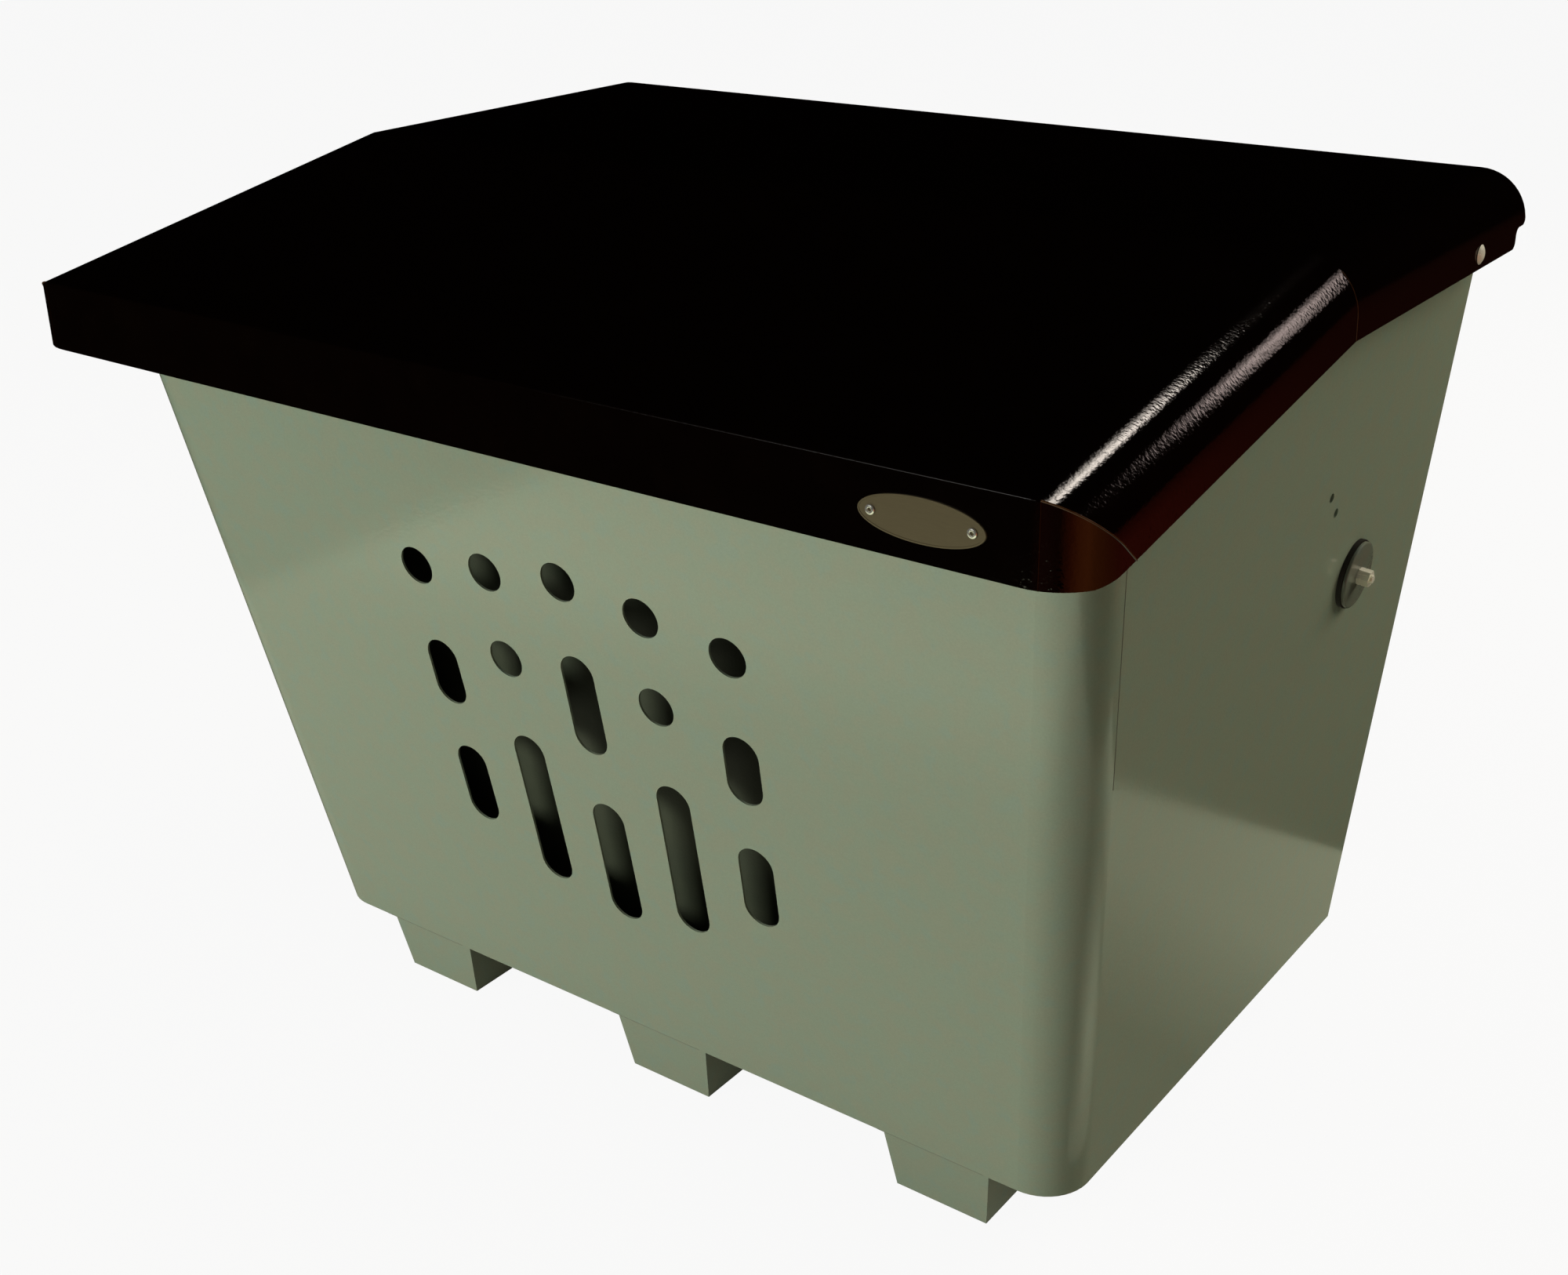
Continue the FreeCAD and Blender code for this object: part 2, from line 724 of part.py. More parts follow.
def make_springs():
    def at(height):
        return Vector(0, 0, height)

    rod_radius = rod_diameter / 2
    neck_radius = socket_neck_diameter / 2
    rod_start = socket_neck_reach - socket_thread_depth
    ball_room = ball_diameter / 2 + ball_clearance
    outer = socket_diameter / 2
    shoulder = math.sqrt(outer ** 2 - neck_radius ** 2)
    socket = turned([
        ((0, -outer), None),
        ((-neck_radius, shoulder), (-outer, 0)),
        ((-neck_radius, socket_neck_reach), None),
        ((-rod_radius, socket_neck_reach), None),
        ((-rod_radius, rod_start), None),
        ((0, rod_start), None),
        ((0, ball_room), None),
        ((0, -ball_room), (-ball_room, 0)),
    ])
    mouth = cylinder(socket_diameter / 2, Vector(socket_mouth, 0, 0), Vector(socket_diameter, 0, 0))
    socket = socket.cut(mouth)
    rod = cylinder(rod_radius, at(rod_start), at(rod_reach))
    tube_inner = tube_diameter / 2 - tube_wall
    piston_radius = tube_inner - turning_clearance
    piston = tube(piston_radius, rod_radius, at(rod_reach - piston_length), at(rod_reach))
    tube_end = spring_length - eye_neck_reach
    barrel = cylinder(tube_diameter / 2, at(tube_start), at(tube_end))
    barrel = barrel.cut(cylinder(tube_inner, at(tube_start), at(tube_end - tube_end_cap)))
    guide_bore = rod_radius + turning_clearance
    guide = tube(tube_inner, guide_bore, at(tube_start), at(tube_start + guide_length))
    eye_centre = at(spring_length)
    half_eye = Vector(eye_thickness / 2, 0, 0)
    eye = cylinder(eye_diameter / 2, eye_centre - half_eye, eye_centre + half_eye)
    eye_neck = cylinder(eye_neck_diameter / 2, at(tube_end), eye_centre)
    slab = box((-eye_thickness / 2, -reach, 0), (eye_thickness / 2, reach, reach))
    thread_room = box((-reach, -reach, 0), (reach, reach, tube_end + eye_thread_depth))
    eye = joined([eye, eye_neck.common(joined([slab, thread_room]))])
    pin_bore = pin_diameter / 2 + turning_clearance
    eye = eye.cut(cylinder(pin_bore, eye_centre - half_eye * 2, eye_centre + half_eye * 2))
    head_face = eye_centre - half_eye
    head_end = head_face - Vector(pin_head_thickness, 0, 0)
    pin = joined([
        cylinder(pin_diameter / 2, head_face, eye_centre + half_eye),
        cylinder(pin_head_diameter / 2, head_end, head_face),
    ])
    for name, shape in (
        ("lower_socket", socket),
        ("piston_rod", rod),
        ("piston", piston),
        ("gas_tube", barrel),
        ("rod_guide", guide),
        ("upper_eye", eye),
        ("upper_pin", pin),
    ):
        shape.Placement = spring_place.multiply(shape.Placement)
        save(name + "_right", [shape])
        save(name + "_left", [mirrored(shape)])


def make_brackets():
    """Brackets under the lid that take the upper ends of the gas springs."""
    collar_start = ball_centre.x + eye_thickness / 2 + collar_gap
    plate_start = collar_start + bracket_collar_length
    plate_end = plate_start + bracket_sheet
    low_y = spring_top_y - bracket_width / 2
    high_y = spring_top_y + bracket_width / 2
    round_end = eye_diameter / 2 + bracket_sheet
    top = [(low_y, lid_height(low_y, lid_sheet)), (high_y, lid_height(high_y, lid_sheet))]
    lower = [(spring_top_y + round_end, spring_top_z), (spring_top_y - round_end, spring_top_z)]
    plate = side_prism(top + lower, plate_start, plate_end)
    centre = Vector(plate_start, spring_top_y, spring_top_z)
    plate = joined([plate, cylinder(round_end, centre, centre + Vector(bracket_sheet, 0, 0))])
    under = lid_sheet + bracket_sheet
    foot = side_prism(top + [(high_y, lid_height(high_y, under)), (low_y, lid_height(low_y, under))],
                      plate_start, plate_start + bracket_foot)
    collar = cylinder(bracket_collar_diameter / 2, centre - Vector(bracket_collar_length, 0, 0), centre)
    bracket = joined([plate, foot, collar])
    save("spring_bracket_right", [bracket])
    save("spring_bracket_left", [mirrored(bracket)])


# Lid

def level_bar(offset, depth, low_y, high_y):
    """Bar with the lid's cross-section a distance inside its outer faces, running level along Y."""
    half = lid_width / 2 - offset
    top = total_height - offset
    bottom = total_height - depth
    bend = lid_side_bend - offset
    side_low = [Vector(-half, low_y, bottom), Vector(-half, low_y, top - bend)]
    side_high = [Vector(half, low_y, top - bend), Vector(half, low_y, bottom)]
    crown = [Vector(-half + bend, low_y, top), Vector(half - bend, low_y, top)]
    slant = bend * (1 - math.sqrt(0.5))
    left_middle = Vector(-half + slant, low_y, top - slant)
    right_middle = Vector(half - slant, low_y, top - slant)
    edges = [
        Part.LineSegment(side_low[0], side_low[1]).toShape(),
        Part.Arc(side_low[1], left_middle, crown[0]).toShape(),
        Part.LineSegment(crown[0], crown[1]).toShape(),
        Part.Arc(crown[1], right_middle, side_high[0]).toShape(),
        Part.LineSegment(side_high[0], side_high[1]).toShape(),
        Part.LineSegment(side_high[1], side_low[0]).toShape(),
    ]
    return Part.Face(Part.Wire(edges)).extrude(Vector(0, high_y - low_y, 0))


def front_of_ridge():
    """Space in front of the mitre where the two lid shells meet."""
    shift = reach * math.tan(slope / 2)
    high = total_height + reach
    low = total_height - reach
    corners = [(ridge_y - shift, high), (ridge_y + shift, low), (-reach, low), (-reach, high)]
    return side_prism(corners, -reach, reach)


def sloped_bar(offset, depth):
    """Front part of the lid's form, cut at the mitre."""
    bar = level_bar(offset, depth, ridge_y - lid_depth, ridge_y + lid_depth / 4)
    bar.rotate(Vector(0, ridge_y, total_height), Vector(1, 0, 0), lid_slope_deg)
    return bar.common(front_of_ridge())


def rear_bar(offset, depth):
    """Rear part of the lid's form, cut at the mitre."""
    return level_bar(offset, depth, ridge_y - lid_depth / 4, back_y).cut(front_of_ridge())


def lid_plan(inset):
    """Plan outline of the lid with its two rounded front corners, as a tall solid."""
    low = (-lid_width / 2 + inset, front_y + inset, 0)
    high = (lid_width / 2 - inset, reach, reach)
    block = box(low, high)
    edges = []
    for edge in block.Edges:
        a, b = edge.Vertexes[0].Point, edge.Vertexes[1].Point
        if abs(a.z - b.z) > 1 and a.y < 0:
            edges.append(edge)
    return block.makeFillet(lid_plan_corner - inset, edges)


def ear_region():
    """Space in front of the slanted seam between the front shell and the corner pieces."""
    start_y = front_y + lid_plan_corner
    start_z = lid_height(start_y, 0) - lid_side_bend
    tip_y = start_y + lid_ear_length
    tip_z = lid_height(tip_y, lid_skirt)
    fall = (tip_z - start_z) / (tip_y - start_y)
    near = front_y - 100
    far = tip_y + 100
    outline = [(near, start_z + fall * (near - start_y)), (far, start_z + fall * (far - start_y))]
    return side_prism(outline + [(far, -100), (near, -100)], -reach, reach)


def pivot_drill():
    radius = bush_diameter / 2 + turning_clearance
    return cylinder(radius, pivot_point(-reach / 2), pivot_point(reach / 2))


def lid_notch():
    """Cutter with rounded corners that shortens the side skirts at the back of the lid."""
    radius = lid_notch_radius
    step = radius * math.sqrt(0.5)
    beyond = 2 * radius
    inner_y = back_y - lid_back_notch
    shelf = total_height - lid_back_drop
    bottom = total_height - lid_skirt
    face = outline_face([
        ((back_y + beyond, bottom - beyond), None),
        ((back_y + beyond, shelf + radius), None),
        ((back_y, shelf + radius), None),
        ((back_y - radius, shelf), (back_y - radius + step, shelf + radius - step)),
        ((inner_y + radius, shelf), None),
        ((inner_y, shelf - radius), (inner_y + radius - step, shelf - radius + step)),
        ((inner_y, bottom + radius), None),
        ((inner_y - radius, bottom), (inner_y - radius + step, bottom + radius - step)),
        ((inner_y - radius, bottom - beyond), None),
    ], lambda point: Vector(-reach, point[0], point[1]))
    return face.extrude(Vector(2 * reach, 0, 0))


def make_lid():
    front_sheet = sloped_bar(0, lid_skirt).cut(sloped_bar(lid_sheet, lid_room))
    outline = lid_plan(0)
    ring = outline.cut(lid_plan(lid_sheet))
    ears = ring.common(ear_region())
    front_shell = front_sheet.common(outline).cut(ears)
    front_shell = max(front_shell.Solids, key=lambda s: s.Volume)
    save("lid_front_shell", [front_shell])

    low_cut = box((-reach, -reach, -reach), (reach, reach, lid_band_bottom))
    wall = ears.common(sloped_bar(0, lid_skirt)).cut(low_cut)
    middle = box((-lid_band_seam, -reach, 0), (lid_band_seam, reach, reach))
    band = wall.common(middle)
    corners = wall.cut(middle)
    right = corners.common(box((0, -reach, 0), (reach, reach, reach)))
    drills = plate_rivet_drills()
    for drill in drills:
        band = band.cut(drill)
    front_edges = [e for e in band.Edges if e.BoundBox.YMax < front_y + lid_sheet / 2]
    top_edge = max(front_edges, key=lambda e: e.BoundBox.Center.z)
    band = band.makeFillet(min(lid_band_edge_radius, lid_sheet * 0.9), [top_edge])
    save("lid_front_band", [band])
    save("lid_corner_right", [right])
    save("lid_corner_left", [mirrored(right)])

    rear_sheet = rear_bar(0, lid_skirt).cut(rear_bar(lid_sheet, lid_room))
    save("lid_rear_shell", [rear_sheet.cut(lid_notch()).cut(pivot_drill())])

    plate_low = total_height - lid_back_drop + lid_notch_radius
    slab = box((-reach, back_y - lid_sheet, plate_low), (reach, back_y, reach))
    save("lid_back_plate", [rear_bar(lid_sheet, lid_room).common(slab)])

    half_strap = seam_strap_width / 2
    strap_x = lid_width / 2 - seam_strap_end_gap
    low_y, high_y = ridge_y - half_strap, ridge_y + half_strap
    outer_ridge = lid_line(lid_sheet)[1]
    inner_ridge = lid_line(2 * lid_sheet)[1]
    strap = side_prism([
        (low_y, lid_height(low_y, lid_sheet)),
        outer_ridge,
        (high_y, lid_height(high_y, lid_sheet)),
        (high_y, lid_height(high_y, 2 * lid_sheet)),
        inner_ridge,
        (low_y, lid_height(low_y, 2 * lid_sheet)),
    ], -strap_x, strap_x)
    save("lid_seam_strap", [strap])


# Name plate

def plate_rivet_places():
    return [plate_centre_x - plate_rivet_spacing / 2, plate_centre_x + plate_rivet_spacing / 2]


def plate_rivet_drills():
    radius = plate_rivet_diameter / 2
    z = plate_centre_height
    inner = front_y + 2 * lid_sheet
    return [cylinder(radius, Vector(x, front_y - 10, z), Vector(x, inner, z)) for x in plate_rivet_places()]


def make_name_plate():
    axis = Vector(0, -1, 0)
    centre = Vector(plate_centre_x, front_y, plate_centre_height)
    oval = Part.Ellipse(Vector(plate_centre_x + plate_length / 2, front_y, plate_centre_height),
                        Vector(plate_centre_x, front_y, plate_centre_height + plate_height / 2), centre)
    plate = Part.Face(Part.Wire([oval.toShape()])).extrude(axis * plate_thickness)
    rivets = []
    for x in plate_rivet_places():
        inside = Vector(x, front_y + lid_sheet, plate_centre_height)
        face = Vector(x, front_y - plate_thickness, plate_centre_height)
        head = cylinder(plate_rivet_head / 2, face, face + axis * plate_rivet_proud)
        rims = [e for e in head.Edges if e.Curve.TypeId == "Part::GeomCircle"]
        outer_rim = min(rims, key=lambda e: e.BoundBox.Center.y)
        head = head.makeFillet(plate_rivet_proud * 0.6, [outer_rim])
        rivets.append(joined([cylinder(plate_rivet_diameter / 2, inside, face), head]))
    for drill in plate_rivet_drills():
        plate = plate.cut(drill)
    save("name_plate", [plate])
    save("name_plate_rivets", rivets)


make_panels()
make_floor()
make_tub_and_rim()
make_seal()
make_stops()
make_skids()
make_pivots()
make_anchors()
make_springs()
make_brackets()
make_lid()
make_name_plate()

opened = math.radians(lid_opening_deg)
lever_y = spring_top_y - pivot_y
lever_z = spring_top_z - pivot_height
open_y = pivot_y + lever_y * math.cos(opened) + lever_z * math.sin(opened)
open_z = pivot_height - lever_y * math.sin(opened) + lever_z * math.cos(opened)
open_length = math.hypot(open_y - ball_centre.y, open_z - ball_centre.z)
open_lean = math.degrees(math.atan2(ball_centre.y - open_y, open_z - ball_centre.z))
print("pivot y", pivot_y, "z", pivot_height)
print("ball centre", ball_centre, "spring top", spring_top_y, spring_top_z)
print("spring length closed", spring_length, "open", open_length)
print("spring lean closed", spring_lean, "open", open_lean)
print("front", front_y, "back", back_y, "ridge", ridge_y)
print("back wall", back_wall_y, "front foot", front_foot_y)
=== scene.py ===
import json
import math

import bmesh
import bpy
from mathutils import Matrix, Vector


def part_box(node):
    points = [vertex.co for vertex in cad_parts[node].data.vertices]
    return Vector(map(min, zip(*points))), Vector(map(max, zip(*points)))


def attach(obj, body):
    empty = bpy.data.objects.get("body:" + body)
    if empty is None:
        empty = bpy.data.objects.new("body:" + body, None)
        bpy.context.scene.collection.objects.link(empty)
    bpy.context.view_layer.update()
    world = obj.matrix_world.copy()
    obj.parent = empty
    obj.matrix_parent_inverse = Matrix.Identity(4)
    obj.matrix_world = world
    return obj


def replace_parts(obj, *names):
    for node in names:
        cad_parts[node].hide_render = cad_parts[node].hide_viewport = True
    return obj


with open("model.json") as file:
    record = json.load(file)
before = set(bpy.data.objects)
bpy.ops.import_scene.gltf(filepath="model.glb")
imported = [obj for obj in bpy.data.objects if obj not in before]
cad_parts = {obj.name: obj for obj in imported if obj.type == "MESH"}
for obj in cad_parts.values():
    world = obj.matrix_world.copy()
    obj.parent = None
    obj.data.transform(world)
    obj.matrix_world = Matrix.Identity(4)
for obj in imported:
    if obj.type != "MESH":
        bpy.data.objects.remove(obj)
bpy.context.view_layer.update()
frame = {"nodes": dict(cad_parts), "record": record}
nodes = frame["nodes"]
scene = bpy.context.scene


# Small helpers for node trees

def place(tree, kind, **values):
    """Node of a kind, with its plain settings."""
    node = tree.nodes.new(kind)
    for key, value in values.items():
        setattr(node, key, value)
    return node


def feed(tree, source, socket):
    """Links a socket to its source, or sets it to a plain value."""
    if isinstance(source, bpy.types.NodeSocket):
        tree.links.new(source, socket)
    else:
        socket.default_value = source


def calculate(tree, operation, *sides):
    """Result of a sum on sockets or plain numbers."""
    node = place(tree, "ShaderNodeMath", operation=operation)
    for socket, side in zip(node.inputs, sides):
        feed(tree, side, socket)
    return node.outputs[0]


def mapped(tree, value, start, end, low=0.0, high=1.0, smooth=False):
    """Value carried from the range start to end over to low to high, and held at its ends."""
    curve = "SMOOTHSTEP" if smooth else "LINEAR"
    node = place(tree, "ShaderNodeMapRange", interpolation_type=curve)
    sockets = ("Value", "From Min", "From Max", "To Min", "To Max")
    for socket, source in zip(sockets, (value, start, end, low, high)):
        feed(tree, source, node.inputs[socket])
    return node.outputs["Result"]


def blended(tree, share, first, second):
    """Colour between two others."""
    node = place(tree, "ShaderNodeMix", data_type="RGBA")
    for socket, source in (("Factor", share), ("A", first), ("B", second)):
        tree.links.new(source, node.inputs[socket])
    return node.outputs["Result"]


def lightened(tree, color, value):
    """Colour with its brightness multiplied."""
    node = place(tree, "ShaderNodeHueSaturation")
    tree.links.new(color, node.inputs["Color"])
    tree.links.new(value, node.inputs["Value"])
    return node.outputs["Color"]


def bumped(tree, height, depth):
    """Normal of a surface that rises by up to a depth in metres."""
    node = place(tree, "ShaderNodeBump")
    node.inputs["Strength"].default_value = 1.0
    tree.links.new(depth, node.inputs["Distance"])
    tree.links.new(height, node.inputs["Height"])
    return node.outputs["Normal"]


def object_coords(tree):
    return place(tree, "ShaderNodeTexCoord").outputs["Object"]


def axes_of(tree, coords):
    """X, Y and Z outputs of coordinates."""
    node = place(tree, "ShaderNodeSeparateXYZ")
    tree.links.new(coords, node.inputs["Vector"])
    return node.outputs


def changed_coords(tree, coords, setting, amount):
    """Coordinates after a move ("Location") or a stretch ("Scale")."""
    node = place(tree, "ShaderNodeMapping")
    node.inputs[setting].default_value = amount
    tree.links.new(coords, node.inputs["Vector"])
    return node.outputs["Vector"]


def noise(tree, coords, scale, detail):
    node = place(tree, "ShaderNodeTexNoise")
    tree.links.new(coords, node.inputs["Vector"])
    tree.links.new(scale, node.inputs["Scale"])
    node.inputs["Detail"].default_value = detail
    return node.outputs["Fac"]


def signed(tree, value, amount):
    """Noise moved to lie about zero, times an amount."""
    return calculate(tree, "MULTIPLY", calculate(tree, "SUBTRACT", value, 0.5), amount)


def color_ramp(tree, share, stops):
    """Colour along a ramp of (position, colour) stops."""
    node = place(tree, "ShaderNodeValToRGB")
    elements = node.color_ramp.elements
    while len(elements) < len(stops):
        elements.new(1.0)
    for element, (position, color) in zip(elements, stops):
        element.position = position
        element.color = (*color, 1)
    tree.links.new(share, node.inputs["Fac"])
    return node.outputs["Color"]


def mixed_shaders(tree, share, first, second):
    node = place(tree, "ShaderNodeMixShader")
    for socket, source in zip(node.inputs, (share, first, second)):
        tree.links.new(source, socket)
    return node.outputs[0]


def new_material(name):
    """Material with its node tree and its Principled shader."""
    material = bpy.data.materials.new(name)
    material.use_nodes = True
    tree = material.node_tree
    return material, tree, tree.nodes["Principled BSDF"]


# Shared surface effects

FLOAT, COLOR, VECTOR = "NodeSocketFloat", "NodeSocketColor", "NodeSocketVector"
BLOTCH_DETAIL, CLOUD_DETAIL, SPECKLE_DETAIL, PEEL_DETAIL, STREAK_DETAIL = 4.0, 5.0, 2.0, 1.5, 3.0
BLOTCH_EDGES = (0.36, 0.64)
CLOUD_EDGES = (0.52, 0.70)
CLOUD_MOVE = (3.7, 1.9, 5.3)
STREAK_STRETCH = (0.08, 1.0, 1.0)
STREAK_SHADES = (0.86, 1.1)


def surface_group(name, inputs):
    """Node group that gives a colour, a roughness and a normal: its inputs and its results."""
    group = bpy.data.node_groups.new(name, "ShaderNodeTree")
    results = (("Color", COLOR), ("Roughness", FLOAT), ("Normal", VECTOR))
    for in_out, sockets in (("INPUT", inputs), ("OUTPUT", results)):
        for label, kind in sockets:
            group.interface.new_socket(name=label, in_out=in_out, socket_type=kind)
    return group, place(group, "NodeGroupInput").outputs, place(group, "NodeGroupOutput").inputs


def make_sprayed_paint():
    """Powder coat: soft blotches and clouds in three shades, a fine speckle and orange peel."""
    group, given, result = surface_group("sprayed paint", (
        ("Color", COLOR), ("Blotch Color", COLOR), ("Blotch Size", FLOAT), ("Cloud Color", COLOR),
        ("Speckle Size", FLOAT), ("Speckle Amount", FLOAT), ("Peel Size", FLOAT),
        ("Peel Height", FLOAT), ("Roughness", FLOAT), ("Roughness Change", FLOAT)))
    coords = object_coords(group)
    cloud_coords = changed_coords(group, coords, "Location", CLOUD_MOVE)
    blotches = noise(group, coords, given["Blotch Size"], BLOTCH_DETAIL)
    clouds = noise(group, cloud_coords, given["Blotch Size"], CLOUD_DETAIL)
    speckle = noise(group, coords, given["Speckle Size"], SPECKLE_DETAIL)
    peel = noise(group, coords, given["Peel Size"], PEEL_DETAIL)
    shades = blended(group, mapped(group, blotches, *BLOTCH_EDGES, smooth=True),
                     given["Color"], given["Blotch Color"])
    clouded = blended(group, mapped(group, clouds, *CLOUD_EDGES, smooth=True),
                      shades, given["Cloud Color"])
    value = calculate(group, "ADD", signed(group, speckle, given["Speckle Amount"]), 1.0)
    change = signed(group, blotches, given["Roughness Change"])
    group.links.new(lightened(group, clouded, value), result["Color"])
    group.links.new(calculate(group, "ADD", given["Roughness"], change), result["Roughness"])
    group.links.new(bumped(group, peel, given["Peel Height"]), result["Normal"])
    return group


def make_drawn_metal():
    """Plated or brushed metal: fine streaks along one axis and a little dullness."""
    group, given, result = surface_group("drawn metal", (
        ("Color", COLOR), ("Streak Size", FLOAT), ("Streak Height", FLOAT), ("Roughness", FLOAT),
        ("Roughness Change", FLOAT)))
    coords = changed_coords(group, object_coords(group), "Scale", STREAK_STRETCH)
    streaks = noise(group, coords, given["Streak Size"], STREAK_DETAIL)
    value = mapped(group, streaks, 0.0, 1.0, *STREAK_SHADES)
    change = calculate(group, "MULTIPLY", streaks, given["Roughness Change"])
    group.links.new(lightened(group, given["Color"], value), result["Color"])
    group.links.new(calculate(group, "ADD", change, given["Roughness"]), result["Roughness"])
    group.links.new(bumped(group, streaks, given["Streak Height"]), result["Normal"])
    return group


sprayed_paint = make_sprayed_paint()
drawn_metal = make_drawn_metal()


# Materials

def covered(name, group, **values):
    """Material that takes its surface from a shared group with its own values."""
    material, tree, shader = new_material(name)
    surface = place(tree, "ShaderNodeGroup", node_tree=group)
    for key, value in values.items():
        surface.inputs[key.replace("_", " ")].default_value = value
    tree.links.new(surface.outputs["Color"], shader.inputs["Base Color"])
    tree.links.new(surface.outputs["Roughness"], shader.inputs["Roughness"])
    tree.links.new(surface.outputs["Normal"], shader.inputs["Normal"])
    return material, shader


def paint(name, colors, blotch_size, speckle, peel, roughness):
    """Paint, plastic or rubber in three close colours.

    Speckle is (size, amount), peel is (size, height) and roughness is (middle, change).
    """
    plain, blotch, cloud = [(*color, 1) for color in colors]
    return covered(
        name, sprayed_paint, Color=plain, Blotch_Color=blotch, Cloud_Color=cloud,
        Blotch_Size=blotch_size, Speckle_Size=speckle[0], Speckle_Amount=speckle[1],
        Peel_Size=peel[0], Peel_Height=peel[1], Roughness=roughness[0],
        Roughness_Change=roughness[1])[0]


def metal(name, color, streaks, roughness, metallic):
    """Plated metal. Streaks is (size, height) and roughness is (least, change)."""
    material, shader = covered(
        name, drawn_metal, Color=(*color, 1), Streak_Size=streaks[0], Streak_Height=streaks[1],
        Roughness=roughness[0], Roughness_Change=roughness[1])
    shader.inputs["Metallic"].default_value = metallic
    return material


sage_paint = paint(
    "sage green paint", [(0.204, 0.253, 0.181), (0.216, 0.247, 0.175), (0.197, 0.254, 0.190)],
    blotch_size=60.0, speckle=(700.0, 0.20), peel=(260.0, 0.00006), roughness=(0.13, 0.03))
disc_paint = paint(
    "cover disc paint", [(0.118, 0.140, 0.104), (0.126, 0.132, 0.098), (0.112, 0.136, 0.112)],
    blotch_size=60.0, speckle=(700.0, 0.20), peel=(320.0, 0.00008), roughness=(0.22, 0.04))
# Darker sage for the joint beads: painted shade, where the gaps of the joints fall in shadow.
joint_shade_paint = paint(
    "painted shade in the joints", [(0.110, 0.120, 0.086), (0.120, 0.112, 0.080), (0.100, 0.114, 0.090)],
    blotch_size=90.0, speckle=(700.0, 0.20), peel=(400.0, 0.00008), roughness=(0.30, 0.05))
brown_paint = paint(
    "dark brown paint",
    [(0.0012, 0.0005, 0.0003), (0.0010, 0.0004, 0.0002), (0.0014, 0.0006, 0.0003)],
    blotch_size=30.0, speckle=(500.0, 0.3), peel=(360.0, 0.00011), roughness=(0.07, 0.03))
# Lighter brown than the lid for the corner and ridge seams: painted sheen, the light that the
# seams' edges catch.
seam_sheen_paint = paint(
    "brown paint with painted sheen on the seams",
    [(0.050, 0.019, 0.005), (0.040, 0.014, 0.004), (0.060, 0.024, 0.007)],
    blotch_size=90.0, speckle=(600.0, 0.3), peel=(400.0, 0.00005), roughness=(0.25, 0.05))
tub_plastic = paint(
    "tub plastic", [(0.048, 0.056, 0.036), (0.042, 0.050, 0.033), (0.050, 0.055, 0.038)],
    blotch_size=25.0, speckle=(700.0, 0.2), peel=(500.0, 0.0002), roughness=(0.5, 0.1))
black_rubber = paint(
    "black rubber", [(0.010, 0.009, 0.009), (0.014, 0.012, 0.011), (0.008, 0.008, 0.008)],
    blotch_size=90.0, speckle=(900.0, 0.3), peel=(700.0, 0.0002), roughness=(0.6, 0.1))
black_nylon = paint(
    "black nylon", [(0.020, 0.020, 0.020), (0.016, 0.016, 0.016), (0.022, 0.021, 0.020)],
    blotch_size=120.0, speckle=(900.0, 0.2), peel=(600.0, 0.0001), roughness=(0.45, 0.1))
black_tube = paint(
    "black tube paint", [(0.012, 0.012, 0.013), (0.010, 0.010, 0.011), (0.013, 0.012, 0.012)],
    blotch_size=60.0, speckle=(700.0, 0.2), peel=(400.0, 0.00003), roughness=(0.25, 0.05))
zinc = metal(
    "dull zinc plate", (0.93, 0.93, 0.77),
    streaks=(900.0, 0.00003), roughness=(0.18, 0.14), metallic=0.4)
plate_metal = metal(
    "satin name plate", (0.108, 0.088, 0.048),
    streaks=(1600.0, 0.00002), roughness=(0.42, 0.12), metallic=0.4)
rivet_metal = metal(
    "bright rivet", (0.80, 0.79, 0.72),
    streaks=(900.0, 0.00001), roughness=(0.16, 0.1), metallic=0.85)

finishes = {
    "body_paint": sage_paint,
    "lid_paint": brown_paint,
    "tub_plastic": tub_plastic,
    "black_rubber": black_rubber,
    "nylon": black_nylon,
    "black_tube": black_tube,
    "zinc_steel": zinc,
    "plate_metal": plate_metal,
    "rivet_metal": rivet_metal,
}

for part in frame["record"]["subparts"]:
    mesh = nodes[part["node"]].data
    mesh.materials.clear()
    mesh.materials.append(finishes[part["material_slot"]])


# New pieces. Profiles and places are in millimetres, as in the solids.

MM = 0.001
SAME_POINT = 1e-7
MIRROR_X = Matrix.Scale(-1, 4, (1, 0, 0))
BOTH_SIDES = [Matrix.Identity(4), MIRROR_X]


def of_kind(parts, kind):
    return [part for part in parts if isinstance(part, kind)]


def turned(profile, closed, steps):
    """Round shape turned about Z from a profile of (radius, height)."""
    build = bmesh.new()
    points = [build.verts.new((radius * MM, 0, height * MM)) for radius, height in profile]
    pairs = list(zip(points, points[1:])) + ([(points[-1], points[0])] if closed else [])
    edges = [build.edges.new(pair) for pair in pairs]
    bmesh.ops.spin(build, geom=points + edges, cent=(0, 0, 0), axis=(0, 0, 1), dvec=(0, 0, 0),
                   angle=2 * math.pi, steps=steps, use_merge=True)
    bmesh.ops.remove_doubles(build, verts=build.verts, dist=SAME_POINT)
    return build


def put_at(build, places):
    """Moves the shape to the first place and adds a copy at each of the others."""
    whole = build.verts[:] + build.edges[:] + build.faces[:]
    moves = [(build.verts[:], places[0])]
    for spot in places[1:]:
        copy = bmesh.ops.duplicate(build, geom=whole)["geom"]
        moves.append((of_kind(copy, bmesh.types.BMVert), spot))
    for verts, spot in moves:
        bmesh.ops.transform(build, matrix=spot, verts=verts)
    bmesh.ops.recalc_face_normals(build, faces=build.faces)


def piece_of(name, build, material):
    """Object made from a shape where it stands."""
    mesh = bpy.data.meshes.new(name)
    build.to_mesh(mesh)
    build.free()
    mesh.materials.append(material)
    piece = bpy.data.objects.new(name, mesh)
    scene.collection.objects.link(piece)
    return piece


